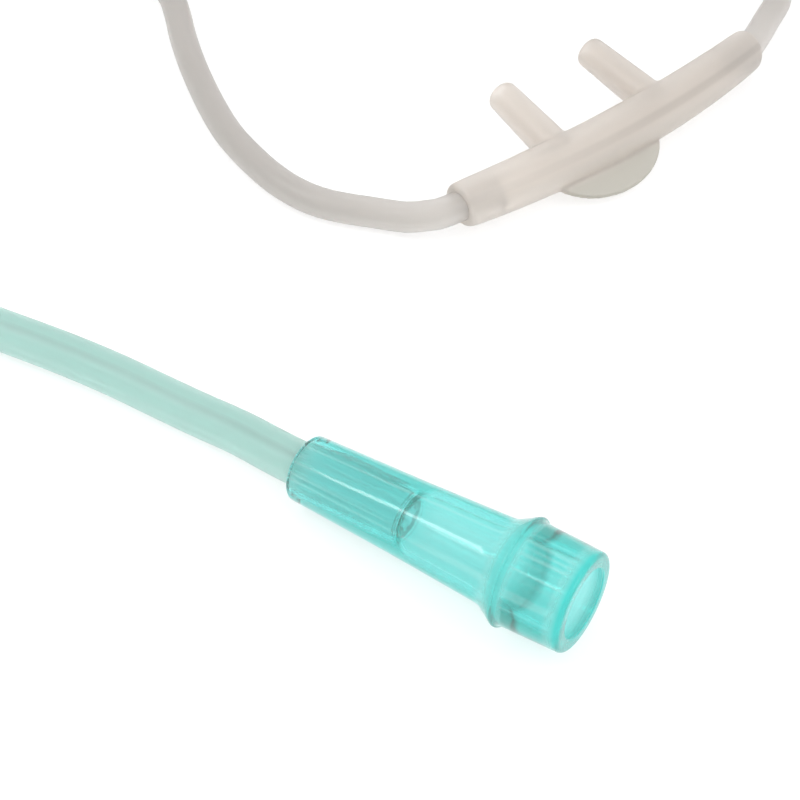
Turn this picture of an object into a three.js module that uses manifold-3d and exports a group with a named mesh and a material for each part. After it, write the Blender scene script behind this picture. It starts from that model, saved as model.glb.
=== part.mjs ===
// Nasal oxygen cannula, stored lying on a level floor, in millimetres, +Z up.
// The origin is under the middle of the two-prong facepiece, at floor level.
// The clear headset tubes run from the facepiece through the slider to the Y junction.
// The green supply tube runs from the Y junction, by way of its coil, to the oxygen connector.

import * as THREE from 'three';
import { mergeVertices } from 'three/addons/utils/BufferGeometryUtils.js';
import Module from 'manifold-3d';

const wasm = await Module();
wasm.setup();

// Clearance left between pieces that are bonded or touch on the real object
const seatGap = 0.3;

// How far a cutting solid runs past the face that it opens
const overcut = 1;

// Tubes
const headsetTube = { diameter: 4.0, sides: 8, steps: 80 };
const supplyTube = { diameter: 5.2, sides: 10, steps: 60 };

// Facepiece: a slightly curved hollow bar with two prongs and a lip flap
const facepiece = {
  length: 57,
  middleDiameter: 7.4,
  endDiameter: 6.4,
  bow: 2.2, // how far both ends curve forward, towards the prong tips
  heading: 38.6, // degrees on the floor, anticlockwise from +X
};
const lumenDiameter = headsetTube.diameter + 2 * seatGap;
const prong = {
  offset: -1.3, // of the pair's middle, along the bar
  reach: 15.0, // from the bar's axis to the tip
  baseSpacing: 18.6,
  tipSpacing: 17.2,
  baseDiameter: 5.1,
  tipDiameter: 4.6,
  boreDiameter: 2.8,
  rise: 8, // degrees that the prongs tilt up off the floor
};
const flap = { offset: -4.6, width: 20.5, reach: 8.2, thickness: 0.9 };

// Oxygen connector: lengths run from the end that holds the tube to the mouth
const connector = {
  length: 35.8,
  narrowDiameter: 8.0,
  stopDiameter: 8.9,
  neckDiameter: 9.94,
  flangeDiameter: 12.66,
  mouthDiameter: 11.36,
  skirtDiameter: 11.8,
  collarStart: 25.4,
  flangeStart: 27.9,
  flangeLip: 0.4,
  flangeBack: 1.0,
  tubeStop: 14.3,
  stopBore: 6.6,
  mouthBore: 7.94,
  rimRound: 0.45,
  heading: -34.2,
  place: new THREE.Vector3(-40.8, -62.5, 0), // under the middle of its narrow end
};

// Slider on the two headset tubes
const slider = { length: 10, wall: 0.8, place: new THREE.Vector3(-99, 45.75, 0) };

// Y junction: two sockets for the headset tubes, one for the supply tube
const junction = {
  length: 18,
  inletWidth: 10.4,
  outletWidth: 7.4,
  height: 6.0,
  round: 1.2,
  heading: 47,
  place: new THREE.Vector3(-138.3, -61, 0), // middle of the inlet face
};

// Coil of the spare supply tube, and the band that ties it and the headset pair
const tie = { thickness: 0.5, width: 4, heading: 150 };
const coil = {
  centre: new THREE.Vector3(-129, 0.5, 0),
  outerTurn: 36.5,
  innerTurn: 17.1,
  layers: 2,
};
const liftOverTie = tie.thickness + seatGap;
const pairSpacing = headsetTube.diameter + seatGap;
const pairOuterTurn = 47.4;

// Routes of the tubes on the floor, each point on the tube's centre line
const headsetLeftRoute = [
  [-17.2, -14.8, 3.7], [-19.7, -16.2, 3.7], [-22.4, -17.8, 3.7], [-24.8, -18.9, 3.4],
  [-27.0, -18.8, 2.9], [-29.2, -18.5, 2.4], [-31.8, -17.7, 2.1], [-34.3, -17.0, 2.0],
  [-37.0, -16.4, 2.0], [-39.7, -15.6, 2.0], [-42.5, -14.3, 2.0], [-45.4, -12.2, 2.0],
  [-48.3, -9.3, 2.0], [-51.3, -5.5, 2.0], [-54.6, -0.5, 2.0], [-57.7, 6.0, 2.0],
  [-61.1, 14.9, 2.0], [-63.5, 22.6, 2.0], [-65.5, 30.6, 2.0], [-67.0, 35.0, 2.0],
  [-69.8, 39.0, 2.0], [-74.0, 41.9, 2.0], [-79.4, 43.1, 2.1], [-86.0, 43.4, 2.6],
  [-93.0, 43.6, 3.1], [-106.0, 43.6, 3.1], [-117.0, 43.6, 3.1], [-129.0, 43.6, 3.1],
  [-142.3, 41.5, 2.8], [-154.3, 35.4, 2.8], [-163.9, 25.8, 2.8], [-170.0, 13.8, 2.8],
  [-172.1, 0.5, 2.8], [-172.1, -17.8, 2.8], [-172.1, -34.8, 2.6], [-172.1, -48.8, 2.4],
  [-170.7, -55.7, 2.4], [-166.7, -61.6, 2.4], [-160.8, -65.4, 2.4], [-153.8, -66.6, 2.4],
  [-146.9, -65.1, 2.4], [-141.2, -61.0, 2.6], [-140.2, -59.9, 2.8],
];
const headsetRightRoute = [
  [18.1, 13.4, 3.7], [20.2, 15.6, 3.7], [22.3, 17.9, 3.7], [23.9, 20.9, 3.1],
  [27.0, 27.4, 2.2], [30.0, 33.6, 2.0], [30.3, 37.6, 2.0], [28.6, 42.0, 2.0],
  [25.2, 45.4, 2.0], [20.6, 47.4, 2.0], [15.0, 47.9, 2.0], [-6.0, 47.9, 2.0],
  [-28.0, 47.9, 2.0], [-50.0, 47.9, 2.0], [-71.0, 47.9, 2.0], [-83.0, 47.9, 2.3],
  [-93.0, 47.9, 3.1], [-106.0, 47.9, 3.1], [-117.0, 47.9, 3.1], [-129.0, 47.9, 3.1],
  [-143.6, 45.6, 2.8], [-156.9, 38.8, 2.8], [-167.3, 28.4, 2.8], [-174.1, 15.1, 2.8],
  [-176.4, 0.5, 2.8], [-176.4, -17.8, 2.8], [-176.4, -34.8, 2.6], [-176.4, -48.8, 2.4],
  [-174.7, -57.4, 2.4], [-169.7, -64.6, 2.4], [-162.4, -69.4, 2.4], [-153.7, -70.9, 2.4],
  [-145.2, -69.0, 2.4], [-138.1, -63.9, 2.6], [-137.1, -62.9, 2.8],
];
const supplyStartRoute = [
  [-125.7, -47.5, 3.1], [-122.0, -43.9, 3.1], [-118.4, -40.3, 3.2],
];
const supplyEndRoute = [
  [-105.5, -34.3, 7.8], [-102.5, -34.2, 6.8], [-95.0, -34.7, 4.5], [-88.2, -36.4, 3.0],
  [-80.0, -40.0, 2.6], [-74.6, -42.4, 2.6], [-69.3, -45.1, 2.6], [-64.1, -47.8, 2.6],
  [-58.9, -50.6, 2.6], [-53.9, -53.5, 2.6], [-48.9, -56.5, 2.9], [-44.5, -59.9, 3.6],
  [-40.8, -62.5, 4.0], [-35.0, -66.4, 4.6], [-29.8, -70.0, 5.1],
];

// Materials
const material = (color, roughness, opacity) =>
  new THREE.MeshStandardMaterial({ color, roughness, metalness: 0, opacity, transparent: opacity < 1 });
const softClear = material(0xe6ddd3, 0.35, 0.75);
const softClearTube = material(0xdcd5cb, 0.3, 0.6);
const paleGreenTube = material(0xbfe5dc, 0.25, 0.6);
const tealVinyl = material(0x6fdcd0, 0.2, 0.75);
const clearJunction = material(0xdfe8e2, 0.25, 0.7);
const whiteTie = material(0xf2f2ee, 0.6, 1);

const radians = THREE.MathUtils.degToRad;

// A closed geometry as a solid for joining and cutting
function toSolid(geometry) {
  const bare = geometry.index ? geometry.clone() : geometry;
  bare.deleteAttribute('normal');
  bare.deleteAttribute('uv');
  const merged = mergeVertices(bare, 1e-4);
  return new wasm.Manifold(new wasm.Mesh({
    numProp: 3,
    vertProperties: new Float32Array(merged.attributes.position.array),
    triVerts: new Uint32Array(merged.index.array),
  }));
}

// A joined or cut solid back as a geometry
function toGeometry(solid) {
  const mesh = solid.getMesh();
  const geometry = new THREE.BufferGeometry();
  geometry.setAttribute('position', new THREE.BufferAttribute(new Float32Array(mesh.vertProperties), 3));
  geometry.setIndex(new THREE.BufferAttribute(new Uint32Array(mesh.triVerts), 1));
  geometry.computeVertexNormals();
  return geometry;
}

// A turned body whose axis lies along +X; profile points are [place along the axis, radius]
function turned(profile, segments) {
  const points = profile.map(([along, radius]) => new THREE.Vector2(radius, along));
  const geometry = new THREE.LatheGeometry(points, segments);
  geometry.rotateZ(-Math.PI / 2);
  geometry.rotateX(Math.PI);
  return geometry;
}

// A round tube along a list of points
function tubeAlong(route, { diameter, sides, steps }) {
  const curve = new THREE.CatmullRomCurve3(route.map((p) => new THREE.Vector3(...p)), false, 'centripetal');
  const section = new THREE.Shape();
  for (let i = 0; i < sides; i += 1) {
    const turn = (2 * Math.PI * i) / sides;
    const x = (diameter / 2) * Math.cos(turn);
    const y = (diameter / 2) * Math.sin(turn);
    if (i === 0) section.moveTo(x, y);
    else section.lineTo(x, y);
  }
  section.closePath();
  return new THREE.ExtrudeGeometry(section, { steps, extrudePath: curve, bevelEnabled: false });
}

// Outline with two round ends, wide in x and high in y
function stadium(width, height, Kind = THREE.Shape) {
  const r = height / 2;
  const flat = width / 2 - r;
  const outline = new Kind();
  outline.moveTo(-flat, -r);
  outline.lineTo(flat, -r);
  outline.absarc(flat, 0, r, -Math.PI / 2, Math.PI / 2, false);
  outline.lineTo(-flat, r);
  outline.absarc(-flat, 0, r, Math.PI / 2, 1.5 * Math.PI, false);
  return outline;
}

// How far the bar's axis lies forward at a given place along it
const bowAt = (x) => facepiece.bow * (x / (facepiece.length / 2)) ** 2;

function bendBar(geometry) {
  const position = geometry.attributes.position;
  for (let i = 0; i < position.count; i += 1) {
    position.setY(i, position.getY(i) + bowAt(position.getX(i)));
  }
  return geometry;
}

// One prong, or its bore, from the bar's axis to a given reach
function prongRod(side, baseRadius, tipRadius, reach) {
  const rod = turned([[0, 0], [0, baseRadius], [reach * 0.3, baseRadius], [reach, tipRadius], [reach, 0]], 20);
  const lean = Math.atan2((prong.baseSpacing - prong.tipSpacing) / 2, prong.reach);
  rod.rotateZ(Math.PI / 2 + side * lean);
  rod.rotateX(radians(prong.rise));
  const place = prong.offset + (side * prong.baseSpacing) / 2;
  rod.translate(place, bowAt(place), 0);
  return rod;
}

// The lip flap: a half disc that slopes from the bar down to the floor
function flapPlate() {
  const outline = new THREE.Shape();
  outline.moveTo(flap.width / 2, 0);
  outline.absellipse(0, 0, flap.width / 2, flap.reach, 0, Math.PI, true);
  outline.closePath();
  const plate = new THREE.ExtrudeGeometry(outline, { depth: flap.thickness, bevelEnabled: false, curveSegments: 24 });
  const drop = facepiece.middleDiameter / 2 - flap.thickness * 1.6;
  plate.translate(0, 0, -flap.thickness / 2);
  plate.rotateX(Math.asin(drop / flap.reach));
  plate.translate(flap.offset, 0, -flap.thickness * 0.6);
  return plate;
}

function makeFacepiece() {
  const half = facepiece.length / 2;
  const middle = facepiece.middleDiameter / 2;
  const end = facepiece.endDiameter / 2;
  const stations = 20;
  const barProfile = [[-half, 0]];
  const lumenProfile = [[-half - overcut, 0], [-half - overcut, lumenDiameter / 2]];
  for (let i = 0; i <= stations; i += 1) {
    const x = -half + (facepiece.length * i) / stations;
    const fullness = Math.cos((Math.PI / 2) * (x / half)) ** 0.8;
    barProfile.push([x, end + (middle - end) * (Math.abs(x) < half ? fullness : 0)]);
    lumenProfile.push([x, lumenDiameter / 2]);
  }
  barProfile.push([half, 0]);
  lumenProfile.push([half + overcut, lumenDiameter / 2], [half + overcut, 0]);
  let solid = toSolid(bendBar(turned(barProfile, 24)));
  solid = solid.add(toSolid(flapPlate()));
  for (const side of [-1, 1]) {
    solid = solid.add(toSolid(prongRod(side, prong.baseDiameter / 2, prong.tipDiameter / 2, prong.reach)));
  }
  solid = solid.subtract(toSolid(bendBar(turned(lumenProfile, 16))));
  for (const side of [-1, 1]) {
    const bore = prong.boreDiameter / 2;
    solid = solid.subtract(toSolid(prongRod(side, bore, bore, prong.reach + overcut)));
  }
  const geometry = toGeometry(solid);
  geometry.rotateZ(radians(facepiece.heading));
  geometry.computeBoundingBox();
  const box = geometry.boundingBox;
  geometry.translate(-(box.min.x + box.max.x) / 2, -(box.min.y + box.max.y) / 2, -box.min.z);
  return geometry;
}

function makeConnector() {
  const c = connector;
  const socket = supplyTube.diameter / 2 + seatGap;
  const round = c.rimRound;
  const mouth = c.mouthDiameter / 2;
  const narrow = c.narrowDiameter / 2;
  const back = c.flangeStart + c.flangeLip;
  const profile = [
    [0, socket], [0, narrow - round], [round, narrow],
    [c.tubeStop, c.stopDiameter / 2], [c.collarStart, c.neckDiameter / 2],
    [c.flangeStart, c.flangeDiameter / 2], [back, c.flangeDiameter / 2],
    [back + 0.35 * c.flangeBack, c.skirtDiameter / 2 + 0.15], [back + c.flangeBack, c.skirtDiameter / 2],
    [c.length - round, mouth], [c.length, mouth - round],
    [c.length, c.mouthBore / 2], [c.tubeStop, c.stopBore / 2], [c.tubeStop, socket], [0, socket],
  ];
  const body = turned(profile, 40);
  const tilt = Math.asin((c.flangeDiameter - c.narrowDiameter) / 2 / c.flangeStart);
  body.rotateY(-tilt);
  body.rotateZ(radians(c.heading));
  body.computeBoundingBox();
  body.translate(c.place.x, c.place.y, -body.boundingBox.min.z);
  return body;
}

function makeSlider() {
  const slotHeight = headsetTube.diameter + 2 * seatGap;
  const slotWidth = slotHeight + pairSpacing;
  const outline = stadium(slotWidth + 2 * slider.wall, slotHeight + 2 * slider.wall);
  outline.holes.push(stadium(slotWidth, slotHeight, THREE.Path));
  const body = new THREE.ExtrudeGeometry(outline, { depth: slider.length, bevelEnabled: false, curveSegments: 8 });
  body.translate(0, slotHeight / 2 + slider.wall, -slider.length / 2);
  body.rotateX(Math.PI / 2);
  body.rotateZ(Math.PI / 2);
  body.translate(slider.place.x, slider.place.y, slider.place.z);
  return body;
}

function makeJunction() {
  const j = junction;
  const round = j.round;
  const inlet = j.inletWidth / 2 - round;
  const outlet = j.outletWidth / 2 - round;
  const outline = new THREE.Shape();
  outline.moveTo(round, -inlet);
  outline.lineTo(round + j.length * 0.3, -inlet);
  outline.bezierCurveTo(j.length * 0.55, -inlet, j.length * 0.55, -outlet, j.length * 0.75, -outlet);
  outline.lineTo(j.length - round, -outlet);
  outline.lineTo(j.length - round, outlet);
  outline.lineTo(j.length * 0.75, outlet);
  outline.bezierCurveTo(j.length * 0.55, outlet, j.length * 0.55, inlet, round + j.length * 0.3, inlet);
  outline.lineTo(round, inlet);
  outline.closePath();
  const body = new THREE.ExtrudeGeometry(outline, {
    depth: j.height - 2 * round,
    bevelThickness: round,
    bevelSize: round,
    bevelSegments: 3,
    curveSegments: 8,
  });
  body.translate(0, 0, round);
  body.rotateZ(radians(j.heading));
  body.translate(j.place.x, j.place.y, j.place.z);
  return body;
}

const coilOuter = coil.outerTurn + supplyTube.diameter / 2;
const coilInner = coil.innerTurn - supplyTube.diameter / 2;
const coilTop = liftOverTie + coil.layers * supplyTube.diameter;

function makeCoil() {
  const profile = [
    [liftOverTie, coilInner], [liftOverTie, coilOuter], [coilTop, coilOuter], [coilTop, coilInner],
    [liftOverTie, coilInner],
  ];
  const ring = new THREE.LatheGeometry(profile.map(([z, r]) => new THREE.Vector2(r, z)), 48);
  ring.rotateX(Math.PI / 2);
  ring.translate(coil.centre.x, coil.centre.y, 0);
  return ring;
}

// The band's outline in the plane through the coil's axis, larger than what it holds by grow
function bandOutline(grow, Kind) {
  const outer = pairOuterTurn + headsetTube.diameter / 2 + grow;
  const outline = new Kind();
  outline.moveTo(coilInner - grow, liftOverTie - grow);
  outline.lineTo(outer, liftOverTie - grow);
  outline.lineTo(outer, liftOverTie + headsetTube.diameter + grow);
  outline.lineTo(coilOuter + grow, coilTop + grow);
  outline.lineTo(coilInner - grow, coilTop + grow);
  outline.closePath();
  return outline;
}

function makeTie() {
  const outline = bandOutline(seatGap + tie.thickness, THREE.Shape);
  outline.holes.push(bandOutline(seatGap, THREE.Path));
  const band = new THREE.ExtrudeGeometry(outline, { depth: tie.width, bevelEnabled: false });
  band.translate(0, 0, -tie.width / 2);
  band.rotateX(Math.PI / 2);
  band.rotateZ(radians(tie.heading));
  band.translate(coil.centre.x, coil.centre.y, 0);
  return band;
}

// Scene graph: one named mesh for each piece
const cannula = new THREE.Group();

function addPiece(name, geometry, look) {
  const mesh = new THREE.Mesh(geometry, look);
  mesh.name = name;
  cannula.add(mesh);
}

addPiece('nasal_prong_body', makeFacepiece(), softClear);
addPiece('headset_tube_left', tubeAlong(headsetLeftRoute, headsetTube), softClearTube);
addPiece('headset_tube_right', tubeAlong(headsetRightRoute, headsetTube), softClearTube.clone());
addPiece('slider', makeSlider(), clearJunction);
addPiece('y_junction', makeJunction(), clearJunction.clone());
addPiece('supply_tube_start', tubeAlong(supplyStartRoute, { ...supplyTube, steps: 14 }), paleGreenTube);
addPiece('supply_coil', makeCoil(), paleGreenTube.clone());
addPiece('supply_tube', tubeAlong(supplyEndRoute, supplyTube), paleGreenTube.clone());
addPiece('oxygen_connector', makeConnector(), tealVinyl);
addPiece('coil_tie', makeTie(), whiteTie);

export default cannula;
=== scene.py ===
import bpy
import math
from mathutils import Matrix, Vector


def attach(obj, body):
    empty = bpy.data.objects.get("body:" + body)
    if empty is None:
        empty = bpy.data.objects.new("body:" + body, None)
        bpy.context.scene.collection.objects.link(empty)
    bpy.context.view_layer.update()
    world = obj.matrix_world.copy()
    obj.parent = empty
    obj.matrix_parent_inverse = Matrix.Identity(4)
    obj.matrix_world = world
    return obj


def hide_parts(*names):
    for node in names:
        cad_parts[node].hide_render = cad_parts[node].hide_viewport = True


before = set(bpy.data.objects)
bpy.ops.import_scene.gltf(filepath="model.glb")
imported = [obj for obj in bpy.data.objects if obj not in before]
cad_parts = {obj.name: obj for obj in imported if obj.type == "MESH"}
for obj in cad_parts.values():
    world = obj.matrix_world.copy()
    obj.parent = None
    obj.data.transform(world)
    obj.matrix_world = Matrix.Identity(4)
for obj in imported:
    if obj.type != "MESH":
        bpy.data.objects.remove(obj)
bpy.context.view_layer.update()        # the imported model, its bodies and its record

mm = 0.001

# Camera: looks down at the connector, with the facepiece behind it
cameraSet = {
    "place": (-30.2, -160.35, 129.06),
    "lookDown": 49.2,  # degrees below level
    "focalPixels": 1400,
    "framePixels": 800,
    "sensorWidth": 36,
}


def makeCamera(given):
    data = bpy.data.cameras.new("camera")
    data.sensor_width = given["sensorWidth"]
    data.lens = given["sensorWidth"] * given["focalPixels"] / given["framePixels"]
    data.clip_start = 0.01
    eye = bpy.data.objects.new("camera", data)
    eye.location = Vector(given["place"]) * mm
    eye.rotation_euler = (math.radians(90 - given["lookDown"]), 0, 0)
    bpy.context.scene.collection.objects.link(eye)
    bpy.context.scene.camera = eye


makeCamera(cameraSet)
print("camera placed")

# Routes of the tubes, points on each tube's centre line, as in the part
headsetLeftRoute = [
    (-17.2, -14.8, 3.7), (-19.7, -16.2, 3.7), (-22.4, -17.8, 3.7), (-24.8, -18.9, 3.4),
    (-27.0, -18.8, 2.9), (-29.2, -18.5, 2.4), (-31.8, -17.7, 2.1), (-34.3, -17.0, 2.0),
    (-37.0, -16.4, 2.0), (-39.7, -15.6, 2.0), (-42.5, -14.3, 2.0), (-45.4, -12.2, 2.0),
    (-48.3, -9.3, 2.0), (-51.3, -5.5, 2.0), (-54.6, -0.5, 2.0), (-57.7, 6.0, 2.0),
    (-61.1, 14.9, 2.0), (-63.5, 22.6, 2.0), (-65.5, 30.6, 2.0), (-67.0, 35.0, 2.0),
    (-69.8, 39.0, 2.0), (-74.0, 41.9, 2.0), (-79.4, 43.1, 2.1), (-86.0, 43.4, 2.6),
    (-93.0, 43.6, 3.1), (-106.0, 43.6, 3.1), (-117.0, 43.6, 3.1), (-129.0, 43.6, 3.1),
    (-142.3, 41.5, 2.8), (-154.3, 35.4, 2.8), (-163.9, 25.8, 2.8), (-170.0, 13.8, 2.8),
    (-172.1, 0.5, 2.8), (-172.1, -17.8, 2.8), (-172.1, -34.8, 2.6), (-172.1, -48.8, 2.4),
    (-170.7, -55.7, 2.4), (-166.7, -61.6, 2.4), (-160.8, -65.4, 2.4), (-153.8, -66.6, 2.4),
    (-146.9, -65.1, 2.4), (-141.2, -61.0, 2.6), (-140.2, -59.9, 2.8), (-136.8, -56.2, 3.0),
]
headsetRightRoute = [
    (18.1, 13.4, 3.7), (20.2, 15.6, 3.7), (22.3, 17.9, 3.7), (23.9, 20.9, 3.1),
    (27.0, 27.4, 2.2), (30.0, 33.6, 2.0), (30.3, 37.6, 2.0), (28.6, 42.0, 2.0),
    (25.2, 45.4, 2.0), (20.6, 47.4, 2.0), (15.0, 47.9, 2.0), (-6.0, 47.9, 2.0),
    (-28.0, 47.9, 2.0), (-50.0, 47.9, 2.0), (-71.0, 47.9, 2.0), (-83.0, 47.9, 2.3),
    (-93.0, 47.9, 3.1), (-106.0, 47.9, 3.1), (-117.0, 47.9, 3.1), (-129.0, 47.9, 3.1),
    (-143.6, 45.6, 2.8), (-156.9, 38.8, 2.8), (-167.3, 28.4, 2.8), (-174.1, 15.1, 2.8),
    (-176.4, 0.5, 2.8), (-176.4, -17.8, 2.8), (-176.4, -34.8, 2.6), (-176.4, -48.8, 2.4),
    (-174.7, -57.4, 2.4), (-169.7, -64.6, 2.4), (-162.4, -69.4, 2.4), (-153.7, -70.9, 2.4),
    (-145.2, -69.0, 2.4), (-138.1, -63.9, 2.6), (-137.1, -62.9, 2.8), (-133.6, -59.2, 3.0),
]
supplyStartRoute = [
    (-127.4, -49.3, 3.0), (-125.7, -47.5, 3.1), (-119.8, -41.7, 3.2), (-113.7, -35.6, 3.3),
    (-109.4, -31.2, 3.4),
]
supplyEndRoute = [
    (-119.5, -35.3, 8.75), (-113.0, -34.8, 8.75), (-107.5, -34.4, 8.3), (-102.5, -34.2, 6.8),
    (-95.0, -34.7, 4.5), (-88.2, -36.1, 3.0), (-80.0, -39.7, 2.7), (-74.6, -42.2, 2.7),
    (-69.3, -44.8, 2.7), (-64.1, -47.6, 2.7), (-58.9, -50.6, 2.6), (-53.9, -53.5, 2.6),
    (-48.9, -56.5, 2.9), (-44.5, -59.9, 3.6), (-40.8, -62.5, 4.0), (-35.0, -66.4, 4.6),
    (-29.4, -70.2, 5.12),
]

coilSet = {
    "centre": (-129.0, 0.5),
    "outerTurn": 36.5,
    "innerTurn": 17.1,
    "startAngle": 310,
    "endAngle": 275,
    "fullTurns": 8,
    "climbTurns": 0.5,
    "lowLayer": 3.4,
    "highLayer": 8.75,
    "pointsPerTurn": 18,
}


def coilPoints(given):
    sweep = given["endAngle"] - given["startAngle"] + 360 * given["fullTurns"]
    turns = sweep / 360
    flatTurns = (turns - given["climbTurns"]) / 2
    reach = given["outerTurn"] - given["innerTurn"]
    count = round(turns * given["pointsPerTurn"])
    points = []
    for i in range(count + 1):
        t = turns * i / count
        if t < flatTurns:
            radius = given["outerTurn"] - reach * t / flatTurns
            z = given["lowLayer"]
        elif t < flatTurns + given["climbTurns"]:
            share = (t - flatTurns) / given["climbTurns"]
            radius = given["innerTurn"]
            climb = (1 - math.cos(math.pi * share)) / 2
            z = given["lowLayer"] + (given["highLayer"] - given["lowLayer"]) * climb
        else:
            radius = given["innerTurn"] + reach * (t - flatTurns - given["climbTurns"]) / flatTurns
            z = given["highLayer"]
        angle = math.radians(given["startAngle"] + 360 * t)
        x = given["centre"][0] + radius * math.cos(angle)
        y = given["centre"][1] + radius * math.sin(angle)
        points.append((x, y, z))
    return points


def smoothPath(points, spacing):
    p = [Vector(q) * mm for q in points]
    fine = []
    for i in range(len(p) - 1):
        a, b = p[i], p[i + 1]
        before = p[i - 1] if i > 0 else a * 2 - b
        after = p[i + 2] if i + 2 < len(p) else b * 2 - a
        gapIn, gap, gapOut = (a - before).length ** 0.5, (b - a).length ** 0.5, (after - b).length ** 0.5
        slopeA = ((a - before) / gapIn - (b - before) / (gapIn + gap) + (b - a) / gap) * gap
        slopeB = ((b - a) / gap - (after - a) / (gap + gapOut) + (after - b) / gapOut) * gap
        for k in range(16):
            t = k / 16
            fine.append(
                a * (2 * t**3 - 3 * t**2 + 1) + slopeA * (t**3 - 2 * t**2 + t)
                + b * (3 * t**2 - 2 * t**3) + slopeB * (t**3 - t**2)
            )
    fine.append(p[-1])
    length = sum((fine[i + 1] - fine[i]).length for i in range(len(fine) - 1))
    count = max(2, round(length / (spacing * mm)))
    even = [fine[0]]
    walked, wanted, i = 0.0, length / count, 0
    while len(even) < count and i < len(fine) - 1:
        step = (fine[i + 1] - fine[i]).length
        if walked + step >= wanted * len(even):
            share = (wanted * len(even) - walked) / step
            even.append(fine[i].lerp(fine[i + 1], share))
        else:
            walked += step
            i += 1
    even.append(fine[-1])
    return even, length


def ringAngles(count):
    return [2 * math.pi * k / count for k in range(count)]


def workOn(piece):
    bpy.ops.object.select_all(action="DESELECT")
    piece.select_set(True)
    bpy.context.view_layer.objects.active = piece


def markRound(mesh, path, n, m):
    # a direction that turns once round the tube (x, y) and the distance along it (z)
    spot = mesh.attributes.new("roundTube", "FLOAT_VECTOR", "POINT")
    walked = 0.0
    values = []
    for i, centre in enumerate(path):
        walked += (centre - path[i - 1]).length if i else 0
        for a in ringAngles(n) + ringAngles(m):
            values += [math.cos(a), math.sin(a), walked]
    spot.data.foreach_set("vector", values)


def makeTube(name, points, given):
    path, length = smoothPath(points, given["spacing"])
    r = given["outer"]
    outer = [(r * math.cos(a), r * math.sin(a)) for a in ringAngles(given["outerSides"])]
    inner = []
    for a in ringAngles(given["innerSides"]):
        r = given["inner"] + given["flute"] * math.cos(given["flutes"] * a)
        inner.append((r * math.cos(a), r * math.sin(a)))
    verts, faces = [], []
    n, m = len(outer), len(inner)
    ringSize = n + m
    side = Vector((0, 0, 1))
    for i, centre in enumerate(path):
        ahead = path[min(i + 1, len(path) - 1)] - path[max(i - 1, 0)]
        ahead.normalize()
        side = (side - ahead * side.dot(ahead)).normalized()
        across = ahead.cross(side)
        for u, v in outer + inner:
            verts.append(centre + (across * u + side * v) * mm)
        if i:
            base, last = i * ringSize, (i - 1) * ringSize
            for k in range(n):
                k2 = (k + 1) % n
                faces.append((last + k, last + k2, base + k2, base + k))
            for k in range(m):
                k2 = (k + 1) % m
                faces.append((last + n + k2, last + n + k, base + n + k, base + n + k2))
    mesh = bpy.data.meshes.new(name)
    mesh.from_pydata(verts, [], faces)
    markRound(mesh, path, n, m)
    tube = bpy.data.objects.new(name, mesh)
    bpy.context.scene.collection.objects.link(tube)
    workOn(tube)
    bpy.ops.object.mode_set(mode="EDIT")
    bpy.ops.mesh.select_mode(type="EDGE")
    for start in (0, (len(path) - 1) * ringSize):
        bpy.ops.mesh.select_all(action="DESELECT")
        bpy.ops.object.mode_set(mode="OBJECT")
        for edge in mesh.edges:
            ends = edge.vertices
            edge.select = all(start <= e < start + ringSize for e in ends)
        bpy.ops.object.mode_set(mode="EDIT")
        bpy.ops.mesh.bridge_edge_loops()
    bpy.ops.mesh.select_all(action="SELECT")
    bpy.ops.mesh.normals_make_consistent(inside=False)
    bpy.ops.object.mode_set(mode="OBJECT")
    bpy.ops.object.shade_smooth_by_angle(angle=math.radians(50))
    return tube, path, length


headsetTubeSet = {
    "outer": 2.1, "inner": 1.2, "flute": 0.0, "flutes": 1,
    "outerSides": 28, "innerSides": 20, "spacing": 1.5,
}
supplyTubeSet = {
    "outer": 2.66, "inner": 1.45, "flute": 0.22, "flutes": 6,
    "outerSides": 32, "innerSides": 36, "spacing": 2.2,
}

leftTube, leftPath, leftLength = makeTube("headsetTubeLeft", headsetLeftRoute, headsetTubeSet)
rightTube, rightPath, rightLength = makeTube("headsetTubeRight", headsetRightRoute, headsetTubeSet)
supplyRoute = supplyStartRoute + coilPoints(coilSet) + supplyEndRoute
supplyTube, supplyPath, supplyLength = makeTube("supplyTube", supplyRoute, supplyTubeSet)
print("tubes made:", round(leftLength, 3), round(rightLength, 3), round(supplyLength, 3), "m")


# Modelling helpers
def startCircle(name, sides, radius, height=0.0):
    bpy.ops.object.select_all(action="DESELECT")
    bpy.ops.mesh.primitive_circle_add(vertices=sides, radius=radius * mm, location=(0, 0, height * mm))
    piece = bpy.context.active_object
    piece.name = piece.data.name = name
    bpy.ops.object.transform_apply(location=True, rotation=True, scale=True)
    bpy.ops.object.mode_set(mode="EDIT")
    bpy.ops.mesh.select_mode(type="VERT")
    bpy.ops.mesh.select_all(action="SELECT")
    return piece


def extrudeTo(rise, widen, height, deepen=None):
    bpy.ops.mesh.extrude_region_move(TRANSFORM_OT_translate={"value": (0, 0, rise * mm)})
    other = widen if deepen is None else deepen
    bpy.ops.transform.resize(value=(widen, other, 1), center_override=(0, 0, height * mm))


def closeAndTidy():
    bpy.ops.mesh.select_all(action="SELECT")
    bpy.ops.mesh.remove_doubles(threshold=0.0000005)
    bpy.ops.mesh.normals_make_consistent(inside=False)
    bpy.ops.object.mode_set(mode="OBJECT")


def turnedRing(name, profile, sides):
    # profile closes on itself: a hollow turned body standing along Z
    body = startCircle(name, sides, profile[0][1], profile[0][0])
    for (z0, r0), (z1, r1) in zip(profile, profile[1:]):
        extrudeTo(z1 - z0, r1 / r0, z1)
    closeAndTidy()
    return body


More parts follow.
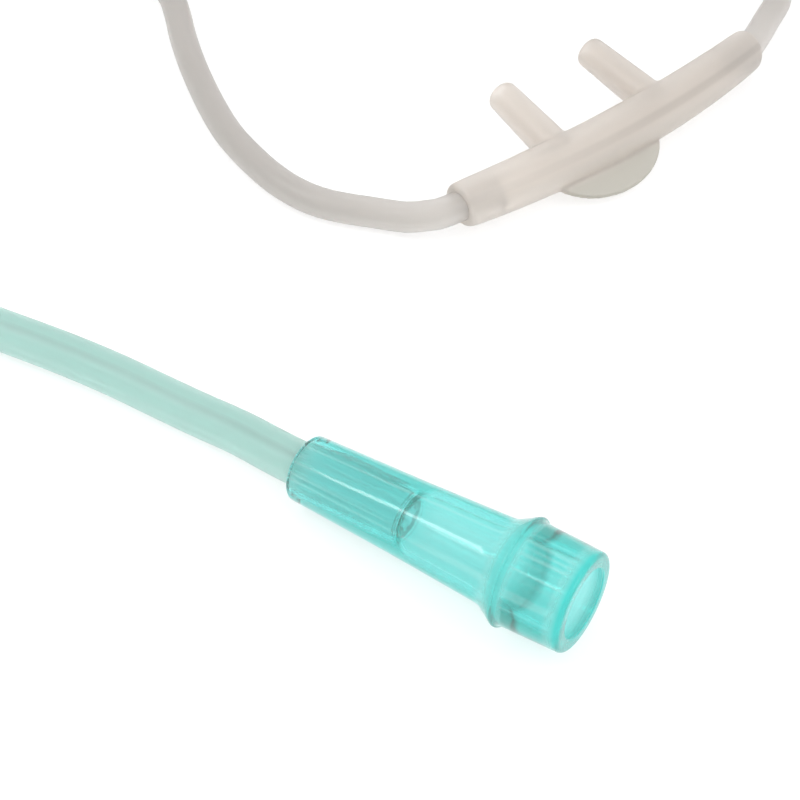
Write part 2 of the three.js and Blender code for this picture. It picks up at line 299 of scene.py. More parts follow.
def turnedRod(name, profile, sides):
    # a solid turned body along Z, both ends filled
    body = startCircle(name, sides, profile[0][1], profile[0][0])
    bpy.ops.mesh.edge_face_add()
    bpy.ops.mesh.select_mode(type="VERT")
    for (z0, r0), (z1, r1) in zip(profile, profile[1:]):
        extrudeTo(z1 - z0, r1 / r0, z1)
    closeAndTidy()
    return body


def cornerArc(centre, radius, start, end, steps):
    # (along, radius) points round a corner, angles in degrees from the axis direction
    points = []
    for i in range(steps + 1):
        a = math.radians(start + (end - start) * i / steps)
        points.append((centre[0] + radius * math.cos(a), centre[1] + radius * math.sin(a)))
    return points


def placePiece(piece, matrix):
    workOn(piece)
    piece.matrix_world = matrix @ piece.matrix_world
    bpy.ops.object.transform_apply(location=True, rotation=True, scale=True)


def joinOrCut(piece, other, operation):
    workOn(piece)
    cut = piece.modifiers.new("cut", "BOOLEAN")
    cut.operation = operation
    cut.solver = "EXACT"
    cut.object = other
    bpy.ops.object.modifier_apply(modifier=cut.name)
    bpy.data.objects.remove(other, do_unlink=True)


def addModifier(piece, kind, **values):
    workOn(piece)
    made = piece.modifiers.new(kind.lower(), kind)
    for key, value in values.items():
        setattr(made, key, value)
    bpy.ops.object.modifier_apply(modifier=made.name)


def addBevel(piece, width, segments):
    limit = math.radians(60)
    addModifier(
        piece, "BEVEL", width=width * mm, segments=segments, limit_method="ANGLE", angle_limit=limit,
    )


def smoothShade(piece, degrees=35):
    workOn(piece)
    bpy.ops.object.shade_smooth_by_angle(angle=math.radians(degrees))


# Oxygen connector: lengths run from the end that holds the tube to the mouth
connectorSet = {
    "length": 35.8, "narrow": 4.0, "stop": 4.45, "neck": 4.97,
    "flange": 6.33, "skirt": 5.9, "mouth": 5.68,
    "collarStart": 25.4, "flangeStart": 27.9, "flangeLip": 0.4, "flangeBack": 1.1,
    "socket": 2.69, "tubeStop": 14.3, "stopLedge": 1.3, "stopBore": 3.3, "mouthBore": 3.97,
    "rimRound": 0.4, "lipRound": 0.2, "mouthRound": 0.5, "boreRound": 0.25, "sides": 96,
    "heading": -34.2, "place": (-40.8, -62.5),
    "tilt": 4.79,
}


def markTurned(piece):
    # the direction round the axis (x, y) and the distance along it (z)
    spot = piece.data.attributes.new("roundTube", "FLOAT_VECTOR", "POINT")
    values = []
    for v in piece.data.vertices:
        far = max(math.hypot(v.co.x, v.co.y), 1e-6)
        values += [v.co.x / far, v.co.y / far, v.co.z]
    spot.data.foreach_set("vector", values)


def markPaintedEdges(piece, edges, bore):
    # how much each place outside the bore belongs to an edge with painted light, as from, to and share
    # along the axis
    mark = piece.data.attributes.new("paintedEdgeShare", "FLOAT", "POINT")
    shares = []
    for v in piece.data.vertices:
        outside = math.hypot(v.co.x, v.co.y) > bore * mm
        found = [share for low, high, share in edges if low * mm < v.co.z < high * mm and outside]
        shares.append(max(found) if found else 0)
    mark.data.foreach_set("value", shares)


def makeConnector(given):
    c = given
    r = c["rimRound"]
    back = c["flangeStart"] + c["flangeLip"]
    profile = [(0, c["socket"] + 0.15), (0, c["narrow"] - r)]
    profile += cornerArc((r, c["narrow"] - r), r, 180, 90, 6)[1:]
    profile += [(c["tubeStop"], c["stop"]), (c["collarStart"] - 0.6, c["neck"] - 0.03)]
    profile += [(c["collarStart"], c["neck"] + 0.02), (c["collarStart"] + 0.5, c["neck"] + 0.16)]
    profile += [(c["flangeStart"] - 0.5, c["flange"] - 0.35), (c["flangeStart"], c["flange"] - 0.04)]
    lip, outerRound, boreRound = c["lipRound"], c["mouthRound"], c["boreRound"]
    profile += cornerArc((back - lip, c["flange"] - lip), lip, 90, 0, 4)
    profile += [(back + 0.1, c["skirt"] + 0.16), (back + 0.3, c["skirt"] + 0.05)]
    profile += [(back + c["flangeBack"], c["skirt"])]
    profile += [(c["length"] - 2.0, c["mouth"] + 0.07)]
    profile += cornerArc((c["length"] - outerRound, c["mouth"] - outerRound), outerRound, 90, 0, 7)
    profile += cornerArc((c["length"] - boreRound, c["mouthBore"] + boreRound), boreRound, 0, -90, 5)
    ledgeEnd = c["tubeStop"] + c["stopLedge"]
    profile += [(ledgeEnd + 0.5, c["stopBore"] + 0.02), (ledgeEnd, c["stopBore"] - 0.08)]
    profile += [(c["tubeStop"] + 0.35, c["socket"] + 0.2), (c["tubeStop"], c["socket"] - 0.28)]
    profile += [(c["tubeStop"] - 0.12, c["socket"] - 0.28), (c["tubeStop"] - 0.15, c["socket"])]
    profile += [(0.2, c["socket"]), (0, c["socket"] + 0.15)]
    body = turnedRing("connectorBody", profile, c["sides"])
    markTurned(body)
    # edges that get the painted edge light: the tube end, the flange lip and the mouth rim
    edges = (
        (-1, 1, 0.5), (c["flangeStart"] - 0.6, back + 0.4, 0.8), (c["length"] - 0.7, c["length"] + 1, 1.0),
    )
    markPaintedEdges(body, edges, c["mouthBore"] + 0.04)
    tilt = math.radians(c["tilt"])
    heading = math.radians(c["heading"])
    flat = math.cos(tilt)
    along = Vector((math.cos(heading) * flat, math.sin(heading) * flat, math.sin(tilt)))
    turn = Vector((0, 0, 1)).rotation_difference(along).to_matrix().to_4x4()
    placePiece(body, turn)
    low = min(v.co.z for v in body.data.vertices)
    placePiece(body, Matrix.Translation(Vector((c["place"][0] * mm, c["place"][1] * mm, -low))))
    smoothShade(body, 40)
    return body


connectorBody = makeConnector(connectorSet)
print("connector made")

# Facepiece: a hollow curved bar with two prongs and a lip flap, made along X and then set down
faceSet = {
    "length": 57, "middle": 3.7, "end": 3.2, "bow": 2.2, "endRound": 0.7,
    "heading": 38.6, "place": (1.3725, -1.7193, 3.7),
    "prongShift": -1.3, "prongReach": 15.4, "baseSpacing": 18.6, "tipSpacing": 17.0,
    "prongBase": 2.55, "prongTip": 2.3, "prongBore": 1.4, "prongRise": 8, "tipRound": 1.0,
    "flapWidth": 20.5, "flapReach": 7.8, "flapThick": 0.9, "flapShift": -5.0, "flapRoot": 0.8,
    "flapSeen": 3.4,  # the flap shows beyond this distance from the axis
    "lumen": 1.75, "socket": 2.13, "socketDepth": 6.2,
    "voxel": 0.22, "softenSteps": 9,
}


def bendBar(piece, given):
    half = given["length"] / 2 * mm
    for v in piece.data.vertices:
        v.co.y += given["bow"] * mm * (v.co.x / half) ** 2


def barAlongX(name, profile, given, sides):
    bar = turnedRod(name, profile, sides)
    placePiece(bar, Matrix.Rotation(math.radians(90), 4, "Y"))
    bendBar(bar, given)
    return bar


def makeProng(name, side, profile, given):
    rod = turnedRod(name, profile, 40)
    lean = math.atan2((given["baseSpacing"] - given["tipSpacing"]) / 2, given["prongReach"])
    forward = Matrix.Rotation(math.radians(-90), 4, "X")
    rise = Matrix.Rotation(math.radians(given["prongRise"]), 4, "X")
    inward = Matrix.Rotation(side * lean, 4, "Z")
    baseX = given["prongShift"] + side * given["baseSpacing"] / 2
    baseBow = given["bow"] * (2 * baseX / given["length"]) ** 2
    place = Matrix.Translation(Vector((baseX, baseBow, 0)) * mm)
    placePiece(rod, place @ inward @ rise @ forward)
    return rod


def markBar(piece, given):
    # a direction that turns once round the bar's bent axis (x, y) and the distance along it (z)
    half = given["length"] / 2 * mm
    spot = piece.data.attributes.new("roundTube", "FLOAT_VECTOR", "POINT")
    values = []
    for v in piece.data.vertices:
        away = v.co.y - given["bow"] * mm * (v.co.x / half) ** 2
        far = max(math.hypot(away, v.co.z), 1e-6)
        values += [away / far, v.co.z / far, v.co.x]
    spot.data.foreach_set("vector", values)
    # mask for the painted shade on the lip flap
    flap = piece.data.attributes.new("flapShadeShare", "FLOAT", "POINT")
    shares = []
    for v in piece.data.vertices:
        below = given["bow"] * (v.co.x / half) ** 2 - v.co.y / mm
        shares.append(min(max(below - given["flapSeen"], 0), 1))
    flap.data.foreach_set("value", shares)


def makeFlap(given):
    flap = startCircle("lipFlap", 72, given["flapWidth"] / 2)
    bpy.ops.mesh.edge_face_add()
    squash = 2 * given["flapReach"] / given["flapWidth"]
    bpy.ops.transform.resize(value=(1, squash, 1), center_override=(0, 0, 0))
    root = (0, given["flapRoot"] * mm, 0)
    bpy.ops.mesh.bisect(plane_co=root, plane_no=(0, 1, 0), clear_outer=True)
    bpy.ops.mesh.select_all(action="SELECT")
    bpy.ops.mesh.extrude_region_move(TRANSFORM_OT_translate={"value": (0, 0, given["flapThick"] * mm)})
    closeAndTidy()
    drop = given["middle"] - given["flapThick"] * 1.6
    slope = Matrix.Rotation(math.asin(drop / given["flapReach"]), 4, "X")
    down = Matrix.Translation(Vector((given["flapShift"], 0, -given["flapThick"] * 0.6)) * mm)
    centre = Matrix.Translation(Vector((0, 0, -given["flapThick"] / 2)) * mm)
    placePiece(flap, down @ slope @ centre)
    return flap


def makeFacepiece(given):
    g = given
    half = g["length"] / 2
    profile = cornerArc((-half + g["endRound"], g["end"] - g["endRound"]), g["endRound"], 180, 90, 4)
    stations = 28
    for i in range(1, stations):
        x = -half + g["length"] * i / stations
        fullness = max(0, math.cos(math.pi / 2 * x / half)) ** 0.8
        profile.append((x, g["end"] + (g["middle"] - g["end"]) * fullness))
    profile += cornerArc((half - g["endRound"], g["end"] - g["endRound"]), g["endRound"], 90, 0, 4)
    face = barAlongX("facepiece", profile, g, 56)
    joinOrCut(face, makeFlap(g), "UNION")
    soft, reach = g["tipRound"], g["prongReach"]
    outside = [(0.0, g["prongBase"]), (reach * 0.3, g["prongBase"])]
    outside += cornerArc((reach - soft, g["prongTip"] - soft), soft, 90, 0, 5)
    inside = [(0.0, g["prongBore"]), (reach - 0.4, g["prongBore"]), (reach + 1, g["prongBore"] + 0.5)]
    for side in (-1, 1):
        joinOrCut(face, makeProng("prong", side, outside, g), "UNION")
    addModifier(face, "REMESH", mode="VOXEL", voxel_size=g["voxel"] * mm)
    addModifier(face, "SMOOTH", factor=0.5, iterations=g["softenSteps"])
    stop = half - g["socketDepth"]
    lumen = [(-half - 2, g["socket"]), (-stop, g["socket"]), (-stop + 0.1, g["lumen"])]
    lumen += [(x, g["lumen"]) for x in range(-20, 21, 2)]
    lumen += [(stop - 0.1, g["lumen"]), (stop, g["socket"]), (half + 3, g["socket"])]
    joinOrCut(face, barAlongX("lumen", lumen, g, 40), "DIFFERENCE")
    for side in (-1, 1):
        joinOrCut(face, makeProng("bore", side, inside, g), "DIFFERENCE")
    markBar(face, g)
    turn = Matrix.Rotation(math.radians(g["heading"]), 4, "Z")
    placePiece(face, Matrix.Translation(Vector(g["place"]) * mm) @ turn)
    smoothShade(face, 40)
    return face


facepiece = makeFacepiece(faceSet)
print("facepiece made")

# Slider: a flattened sleeve round both headset tubes
sliderSet = {
    "length": 10, "place": (-99, 45.75, 3.1), "tube": 2.13, "spread": 2.15, "wall": 0.95,
    "edge": 0.3, "sides": 48,
}


def makeSlider(given):
    g = given
    sleeve = startCircle("sliderSleeve", g["sides"], g["tube"] + g["wall"])
    bpy.ops.object.mode_set(mode="OBJECT")
    for v in sleeve.data.vertices:
        v.co.x += math.copysign(g["spread"] * mm, v.co.x) if abs(v.co.x) > 1e-7 else 0
    bpy.ops.object.mode_set(mode="EDIT")
    bpy.ops.mesh.select_all(action="SELECT")
    rings = 4
    for _ in range(rings):
        bpy.ops.mesh.extrude_region_move(TRANSFORM_OT_translate={"value": (0, 0, g["length"] / rings * mm)})
    closeAndTidy()
    addModifier(sleeve, "SOLIDIFY", thickness=g["wall"] * mm, offset=-1, use_even_offset=True)
    addBevel(sleeve, g["edge"], 3)
    centre = Matrix.Translation(Vector((0, 0, -g["length"] / 2)) * mm)
    turn = Matrix.Rotation(math.radians(90), 4, "Y") @ Matrix.Rotation(math.radians(90), 4, "Z")
    placePiece(sleeve, Matrix.Translation(Vector(g["place"]) * mm) @ turn @ centre)
    smoothShade(sleeve)
    return sleeve


sliderSleeve = makeSlider(sliderSet)

# Y junction: an oval body that narrows from the two headset tubes to the supply tube
junctionSet = {
    "length": 18, "inlet": (5.2, 3.0), "outlet": (3.6, 3.0), "edge": 0.6,
    "heading": 47, "place": (-138.3, -61.0, 3.0),
    "taperStart": 6.0, "taperEnd": 12.5,
    "tube": 2.12, "spread": 2.15, "supply": 2.69, "inletDepth": 5.0, "outletDepth": 6.0, "sides": 56,
}


def makeJunction(given):
    g = given
    stations = [(0, g["inlet"], g["edge"]), (0.25, g["inlet"], 0.25), (g["edge"], g["inlet"], 0)]
    begin, end = g["taperStart"], g["taperEnd"]
    stations += [(begin, g["inlet"], 0)]
    for i in range(1, 8):
        t = i / 8
        ease = t * t * (3 - 2 * t)
        wide = g["inlet"][0] + (g["outlet"][0] - g["inlet"][0]) * ease
        stations.append((begin + (end - begin) * t, (wide, g["inlet"][1]), 0))
    stations += [(end, g["outlet"], 0), (g["length"] - g["edge"], g["outlet"], 0)]
    stations += [(g["length"] - 0.25, g["outlet"], 0.25), (g["length"], g["outlet"], g["edge"])]
    body = startCircle("yJunction", g["sides"], 1.0)
    wide, high = stations[0][1][0] - stations[0][2], stations[0][1][1] - stations[0][2]
    bpy.ops.mesh.edge_face_add()
    bpy.ops.transform.resize(value=(wide, high, 1), center_override=(0, 0, 0))
    last = 0.0
    for along, (w, h), cut in stations[1:]:
        extrudeTo(along - last, (w - cut) / wide, along, (h - cut) / high)
        wide, high, last = w - cut, h - cut, along
    closeAndTidy()
    for side in (-1, 1):
        socket = turnedRod("socket", [(-1, g["tube"]), (g["inletDepth"], g["tube"])], 32)
        placePiece(socket, Matrix.Translation(Vector((side * g["spread"], 0, 0)) * mm))
        joinOrCut(body, socket, "DIFFERENCE")
    middle = [(g["inletDepth"] - 1.5, 1.2), (g["length"] - g["outletDepth"], 1.5)]
    middle += [(g["length"] - g["outletDepth"] + 0.1, g["supply"]), (g["length"] + 1, g["supply"])]
    joinOrCut(body, turnedRod("passage", middle, 40), "DIFFERENCE")
    flat = Matrix.Rotation(math.radians(90), 4, "Y") @ Matrix.Rotation(math.radians(90), 4, "Z")
    turn = Matrix.Rotation(math.radians(g["heading"]), 4, "Z")
    placePiece(body, Matrix.Translation(Vector(g["place"]) * mm) @ turn @ flat)
    smoothShade(body, 40)
    return body


yJunction = makeJunction(junctionSet)

# Band that ties the coil and the pair of headset tubes beside it
tieSet = {
    "angle": 150, "width": 4.0, "thick": 0.5, "gap": 0.3,
    "inside": 14.5, "coilEdge": 39.1, "pairEdge": 49.4,
    "bottom": 0.8, "pairTop": 4.8, "coilTop": 11.4,
    "corner": 1.2, "edge": 0.1,
}


def makeTie(given):
    g = given
    grow = g["gap"]
    corners = [
        (g["inside"] - grow, g["bottom"] - grow), (g["pairEdge"] + grow, g["bottom"] - grow),
        (g["pairEdge"] + grow, g["pairTop"] + grow), (g["coilEdge"] + grow, g["coilTop"] + grow),
        (g["inside"] - grow, g["coilTop"] + grow),
    ]
    outline = []
    for i, corner in enumerate(corners):
        here = Vector(corner)
        back = (Vector(corners[i - 1]) - here).normalized() * g["corner"]
        on = (Vector(corners[(i + 1) % len(corners)]) - here).normalized() * g["corner"]
        for k in range(5):
            t = k / 4
            outline.append(here + back * (1 - t) ** 2 + on * t * t)
    band = startCircle("coilTie", len(outline), 10)
    bpy.ops.object.mode_set(mode="OBJECT")
    for v, spot in zip(band.data.vertices, outline):
        v.co = Vector((spot.x * mm, spot.y * mm, -g["width"] / 2 * mm))
    bpy.ops.object.mode_set(mode="EDIT")
    bpy.ops.mesh.select_all(action="SELECT")
    bpy.ops.mesh.extrude_region_move(TRANSFORM_OT_translate={"value": (0, 0, g["width"] * mm)})
    closeAndTidy()
    addModifier(band, "SOLIDIFY", thickness=g["thick"] * mm, offset=1, use_even_offset=True)
    addBevel(band, g["edge"], 2)
    stand = Matrix.Rotation(math.radians(90), 4, "X")
    turn = Matrix.Rotation(math.radians(g["angle"]), 4, "Z")
    centre = Matrix.Translation(Vector((*coilSet["centre"], 0)) * mm)
    placePiece(band, centre @ turn @ stand)
    smoothShade(band, 50)
    return band


coilTie = makeTie(tieSet)
print("slider, junction and tie made")


# Materials
bumpHeight = 0.05 * mm


def noiseNode(nodes, links, scale, detail, roughness=0.5, stretch=(1, 1, 1)):
    place = nodes.new("ShaderNodeTexCoord")
    spread = nodes.new("ShaderNodeMapping")
    spread.inputs["Scale"].default_value = stretch
    noise = nodes.new("ShaderNodeTexNoise")
    noise.inputs["Scale"].default_value = scale
    noise.inputs["Detail"].default_value = detail
    noise.inputs["Roughness"].default_value = roughness
    links.new(place.outputs["Object"], spread.inputs["Vector"])
    links.new(spread.outputs["Vector"], noise.inputs["Vector"])
    return noise


def attributeNode(nodes, name):
    place = nodes.new("ShaderNodeAttribute")
    place.attribute_name = name
    return place


def rangeNode(nodes, links, source, fromLow, fromHigh, toLow=0.0, toHigh=1.0):
    made = nodes.new("ShaderNodeMapRange")
    made.inputs["From Min"].default_value = fromLow
    made.inputs["From Max"].default_value = fromHigh
    made.inputs["To Min"].default_value = toLow
    made.inputs["To Max"].default_value = toHigh
    links.new(source, made.inputs["Value"])
    return made.outputs["Result"]


def tintBy(nodes, links, shader, share, colour):
    # mixes the base colour so far with another one
    mixed = nodes.new("ShaderNodeMix")
    mixed.data_type = "RGBA"
    mixed.inputs["B"].default_value = (*colour, 1)
    links.new(share, mixed.inputs["Factor"])
    links.new(shader.inputs["Base Color"].links[0].from_socket, mixed.inputs["A"])
    links.new(mixed.outputs["Result"], shader.inputs["Base Color"])


def bandTint(nodes, links, shader, band):
    # lengthwise bands, darker at set angles round the tube
    place = attributeNode(nodes, "roundTube")
    parts = nodes.new("ShaderNodeSeparateXYZ")
    angle = nodes.new("ShaderNodeMath")
    angle.operation = "ARCTAN2"
    ramp = nodes.new("ShaderNodeValToRGB")
    ramp.color_ramp.interpolation = "EASE"
    stops = ramp.color_ramp.elements
    while len(stops) < len(band):
        stops.new(0.5)
    for stop, (degrees, shade) in zip(stops, band):
        stop.position = (degrees + 180) / 360
        stop.color = (shade, shade, shade, 1)
    mixed = nodes.new("ShaderNodeMix")
    mixed.data_type = "RGBA"
    mixed.blend_type = "MULTIPLY"
    mixed.inputs["Factor"].default_value = 1
    links.new(place.outputs["Vector"], parts.inputs["Vector"])
    links.new(parts.outputs["Y"], angle.inputs[0])
    links.new(parts.outputs["X"], angle.inputs[1])
    share = rangeNode(nodes, links, angle.outputs["Value"], -math.pi, math.pi)
    links.new(share, ramp.inputs["Fac"])
    links.new(shader.inputs["Base Color"].links[0].from_socket, mixed.inputs["A"])
    links.new(ramp.outputs["Color"], mixed.inputs["B"])
    links.new(mixed.outputs["Result"], shader.inputs["Base Color"])


def paintedLightEnd(nodes, links, shader, look):
    # painted light: one end is paler and clearer, at the supply tube's end inside the connector, at the
    # facepiece end of the headset tubes and towards the end of the bar beside the left tube
    near, far, clear, pale = look["paintedLightEnd"]
    place = attributeNode(nodes, "roundTube")
    parts = nodes.new("ShaderNodeSeparateXYZ")
    links.new(place.outputs["Vector"], parts.inputs["Vector"])
    share = rangeNode(nodes, links, parts.outputs["Z"], near, far)
    weight = rangeNode(nodes, links, share, 0, 1, look["clear"], clear)
    links.new(weight, shader.inputs["Transmission Weight"])
    tintBy(nodes, links, shader, share, pale)


def paintedHighlightStreaks(nodes, links, shader, look):
    # painted highlight: pale, clearer lengthwise marks along the side that faces up and forward as the
    # connector lies
    mark = look["highlightStreak"]
    place = attributeNode(nodes, "roundTube")
    long = nodes.new("ShaderNodeVectorMath")
    long.operation = "MULTIPLY"
    long.inputs[1].default_value = (1, 1, mark["stretch"])
    noise = nodes.new("ShaderNodeTexNoise")
    noise.inputs["Scale"].default_value = mark["scale"]
    noise.inputs["Detail"].default_value = 2
    facing = nodes.new("ShaderNodeVectorMath")
    facing.operation = "DOT_PRODUCT"
    facing.inputs[1].default_value = mark["side"]
    both = nodes.new("ShaderNodeMath")
    both.operation = "MULTIPLY"
    links.new(place.outputs["Vector"], long.inputs[0])
    links.new(long.outputs["Vector"], noise.inputs["Vector"])
    links.new(place.outputs["Vector"], facing.inputs[0])
    links.new(rangeNode(nodes, links, noise.outputs["Fac"], *mark["contrast"]), both.inputs[0])
    links.new(rangeNode(nodes, links, facing.outputs["Value"], *mark["spread"]), both.inputs[1])
    share = both.outputs["Value"]
    tintBy(nodes, links, shader, share, mark["tint"])
    weight = rangeNode(nodes, links, share, 0, 1, look["clear"], mark["clear"])
    links.new(weight, shader.inputs["Transmission Weight"])


def paintedEdgeLight(nodes, links, shader, look):
    # painted light: the tube end, the flange lip and the mouth rim get a deep colour and less clearness,
    # standing in for light piped along the walls that leaves at their edges
    share = attributeNode(nodes, "paintedEdgeShare").outputs["Fac"]
    weight = nodes.new("ShaderNodeMix")
    weight.inputs["B"].default_value = look["edgeClear"]
    links.new(share, weight.inputs["Factor"])
    links.new(shader.inputs["Transmission Weight"].links[0].from_socket, weight.inputs["A"])
    links.new(weight.outputs["Result"], shader.inputs["Transmission Weight"])
    tintBy(nodes, links, shader, share, look["edge"])


def addBump(nodes, links, shader, noise, strength):
    bump = nodes.new("ShaderNodeBump")
    bump.inputs["Strength"].default_value = strength
    bump.inputs["Distance"].default_value = bumpHeight
    links.new(noise.outputs["Fac"], bump.inputs["Height"])
    links.new(bump.outputs["Normal"], shader.inputs["Normal"])


def vinylMaterial(name, look):
    made = bpy.data.materials.new(name)
    made.use_nodes = True
    nodes, links = made.node_tree.nodes, made.node_tree.links
    shader = nodes["Principled BSDF"]
    output = nodes["Material Output"]
    shader.inputs["Transmission Weight"].default_value = look["clear"]
    shader.inputs["IOR"].default_value = look["ior"]
    shader.inputs["Specular IOR Level"].default_value = 0.5
    # cloudiness: the tint and the gloss change slowly over the moulding
    cloud = noiseNode(nodes, links, look["cloudScale"], 3)
    tint = nodes.new("ShaderNodeMix")
    tint.data_type = "RGBA"
    tint.inputs["A"].default_value = (*look["tint"], 1)
    tint.inputs["B"].default_value = (*look["tintDeep"], 1)
    links.new(cloud.outputs["Fac"], tint.inputs["Factor"])
    links.new(tint.outputs["Result"], shader.inputs["Base Color"])
    gloss = rangeNode(nodes, links, cloud.outputs["Fac"], 0.3, 0.7, *look["rough"])
    links.new(gloss, shader.inputs["Roughness"])
    shader.inputs["Coat Weight"].default_value = look["coat"]
    shader.inputs["Coat Roughness"].default_value = 0.04
    if look.get("band"):
        bandTint(nodes, links, shader, look["band"])
    if look.get("paintedLightEnd"):
        paintedLightEnd(nodes, links, shader, look)
    if look.get("flapPaintedShade"):
        # painted shade: the thin lip flap is made greyer than the bar it hangs from
        tintBy(nodes, links, shader, attributeNode(nodes, "flapShadeShare").outputs["Fac"], look["flapPaintedShade"])
    if look.get("highlightStreak"):
        paintedHighlightStreaks(nodes, links, shader, look)
    if look.get("edge"):
        paintedEdgeLight(nodes, links, shader, look)
    # faint moulding ripple
    ripple = noiseNode(nodes, links, look["rippleScale"], 2, 0.6)
    addBump(nodes, links, shader, ripple, look["ripple"])
    if look["density"]:
        absorb = nodes.new("ShaderNodeVolumeAbsorption")
        absorb.inputs["Color"].default_value = (*look["absorb"], 1)
        absorb.inputs["Density"].default_value = look["density"]
        links.new(absorb.outputs["Volume"], output.inputs["Volume"])
    return made


tealLook = {
    "clear": 0.94, "ior": 1.22, "tint": (0.92, 0.98, 0.975), "tintDeep": (0.86, 0.965, 0.96),
    "rough": (0.13, 0.2), "coat": 0.6, "cloudScale": 90, "rippleScale": 260, "ripple": 0.12,
    # edge and edgeClear: painted edge light at the rim, the flange lip and the tube end
    "absorb": (0.0, 0.88, 0.86), "density": 430, "edge": (0.1, 0.7, 0.66), "edgeClear": 0.5,
    # painted highlight marks on the connector
    "highlightStreak": {
        "tint": (0.88, 1.0, 0.99), "clear": 0.78, "side": (-1.0, -0.1, 0), "scale": 8, "stretch": 4,
        "contrast": (0.5, 0.7), "spread": (0.3, 0.85),
    },
}
supplyLook = {
    "clear": 0.6, "ior": 1.42, "tint": (0.68, 0.92, 0.87), "tintDeep": (0.65, 0.9, 0.85),
    "rough": (0.28, 0.36), "coat": 0.0, "cloudScale": 60, "rippleScale": 200, "ripple": 0.1,
    "absorb": (0.0, 0.97, 0.8), "density": 20,
    # painted light: the supply tube's end inside the connector is made paler
    "paintedLightEnd": (supplyLength - 0.015, supplyLength - 0.0142, 0.92, (0.86, 1.0, 1.0)),
    "band": ((40, 0.98), (62, 0.8), (68, 0.86), (74, 0.96), (100, 0.97)),
}
headsetLook = {
    "clear": 0.58, "ior": 1.45, "tint": (0.77, 0.74, 0.71), "tintDeep": (0.73, 0.7, 0.67),
    "rough": (0.3, 0.4), "coat": 0.0, "cloudScale": 60, "rippleScale": 200, "ripple": 0.1,
    "absorb": (0.45, 0.27, 0.0), "density": 20,
    "paintedLightEnd": (0.03, 0.0062, 0.66, (0.9, 0.87, 0.84)),
}
faceLook = {
    "clear": 0.62, "ior": 1.45, "tint": (0.91, 0.86, 0.81), "tintDeep": (0.88, 0.83, 0.78),
    "rough": (0.3, 0.4), "coat": 0.0, "cloudScale": 70, "rippleScale": 220, "ripple": 0.15,
    "absorb": (0.43, 0.25, 0.0), "density": 20,
    # painted shade on the lip flap
    "flapPaintedShade": (0.7, 0.68, 0.62),
    # painted light: the bar is made paler towards its end beside the left tube
    "paintedLightEnd": (0.004, -0.042, 0.62, (1.0, 0.95, 0.9)),
    "band": ((-170, 0.93), (-100, 1.0), (122, 1.0), (131, 0.86), (140, 0.88), (149, 1.0), (176, 0.92)),
}
fittingLook = {
    "clear": 0.8, "ior": 1.45, "tint": (0.85, 0.9, 0.87), "tintDeep": (0.82, 0.87, 0.84),
    "rough": (0.15, 0.25), "coat": 0.6, "cloudScale": 80, "rippleScale": 240, "ripple": 0.12,
    "absorb": (0.3, 0.6, 0.4), "density": 40,
}


def paperMaterial():
    made = bpy.data.materials.new("tiePaper")
    made.use_nodes = True
    nodes, links = made.node_tree.nodes, made.node_tree.links
    shader = nodes["Principled BSDF"]
    fibre = noiseNode(nodes, links, 900, 4, 0.6, (1, 1, 3))
    shade = nodes.new("ShaderNodeValToRGB")
    shade.color_ramp.elements[0].color = (0.78, 0.78, 0.76, 1)
    shade.color_ramp.elements[1].color = (0.92, 0.92, 0.9, 1)
    links.new(fibre.outputs["Fac"], shade.inputs["Fac"])
    links.new(shade.outputs["Color"], shader.inputs["Base Color"])
    addBump(nodes, links, shader, fibre, 0.4)
    shader.inputs["Roughness"].default_value = 0.75
    return made


def dress(piece, material, slotName, body, *nodes):
    piece.data.materials.clear()
    piece.data.materials.append(material)
    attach(piece, body)
    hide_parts(*nodes)


tealVinyl = vinylMaterial("tealVinyl", tealLook)
supplyVinyl = vinylMaterial("supplyVinyl", supplyLook)
headsetVinyl = vinylMaterial("headsetVinyl", headsetLook)
faceVinyl = vinylMaterial("faceVinyl", faceLook)
fittingVinyl = vinylMaterial("fittingVinyl", fittingLook)
dress(facepiece, faceVinyl, "soft_clear", "cannula", "nasal_prong_body")
dress(leftTube, headsetVinyl, "headset_tube", "cannula", "headset_tube_left")
dress(rightTube, headsetVinyl, "headset_tube", "cannula", "headset_tube_right")
dress(supplyTube, supplyVinyl, "supply_tube", "cannula", "supply_tube_start", "supply_coil", "supply_tube")
dress(connectorBody, tealVinyl, "teal_vinyl", "cannula", "oxygen_connector")
dress(sliderSleeve, fittingVinyl, "clear_fitting", "slider", "slider")
dress(yJunction, fittingVinyl, "clear_fitting", "cannula", "y_junction")
dress(coilTie, paperMaterial(), "white_tie", "cannula", "coil_tie")

print("pieces dressed")

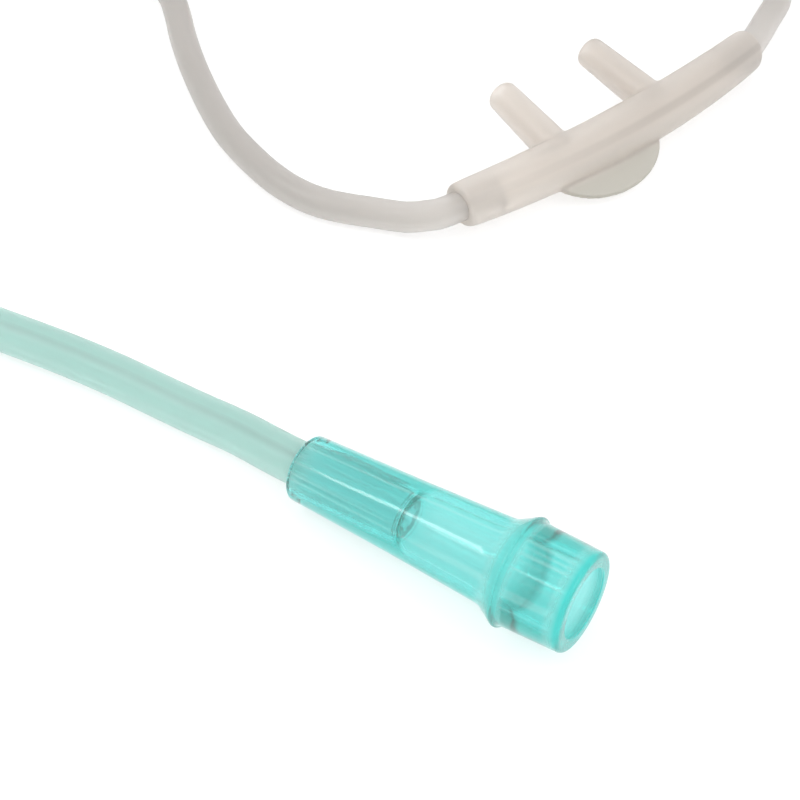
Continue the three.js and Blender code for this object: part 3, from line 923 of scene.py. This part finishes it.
# Floor, world and lights
stageSet = {
    "floorSize": 3.0, "floorPlace": (-0.05, 0.2, -0.0001),
    "floorColour": (0.5, 0.5, 0.5), "floorGlow": 0.6, "world": 1.0,
}
lampSet = {
    "keyLamp": {
        "place": (-0.38, -0.06, 0.5), "target": (-0.03, -0.06, 0), "size": (0.06, 0.3), "power": 0.5,
    },
    "fillLamp": {
        "place": (0.5, -0.3, 0.6), "target": (0, 0, 0), "size": (0.4, 0.4), "power": 0.6,
    },
}


def makeStage(given):
    bpy.ops.object.select_all(action="DESELECT")
    bpy.ops.mesh.primitive_plane_add(size=given["floorSize"], location=given["floorPlace"])
    floor = bpy.context.active_object
    floor.name = "floor"
    paint = bpy.data.materials.new("floorPaint")
    paint.use_nodes = True
    shader = paint.node_tree.nodes["Principled BSDF"]
    shader.inputs["Base Color"].default_value = (*given["floorColour"], 1)
    shader.inputs["Roughness"].default_value = 0.9
    shader.inputs["Specular IOR Level"].default_value = 0.1
    shader.inputs["Emission Color"].default_value = (1, 1, 1, 1)
    shader.inputs["Emission Strength"].default_value = given["floorGlow"]
    floor.data.materials.append(paint)
    world = bpy.data.worlds.new("softbox")
    world.use_nodes = True
    sky = world.node_tree.nodes["Background"]
    sky.inputs["Color"].default_value = (1, 1, 1, 1)
    sky.inputs["Strength"].default_value = given["world"]
    bpy.context.scene.world = world


def addLamp(name, given):
    data = bpy.data.lights.new(name, "AREA")
    data.shape = "RECTANGLE"
    data.size, data.size_y = given["size"]
    data.energy = given["power"]
    lamp = bpy.data.objects.new(name, data)
    lamp.location = given["place"]
    aim = Vector(given["target"]) - Vector(given["place"])
    lamp.rotation_euler = aim.to_track_quat("-Z", "Y").to_euler()
    bpy.context.scene.collection.objects.link(lamp)


makeStage(stageSet)
for lampName in lampSet:
    addLamp(lampName, lampSet[lampName])

view = bpy.context.scene.view_settings
view.view_transform = "Standard"
view.look = "None"
cycles = bpy.context.scene.cycles
cycles.transmission_bounces = 24
cycles.glossy_bounces = 24
cycles.transparent_max_bounces = 24
cycles.max_bounces = 28
cycles.caustics_refractive = True
cycles.blur_glossy = 0.3
print("stage and lamps set")
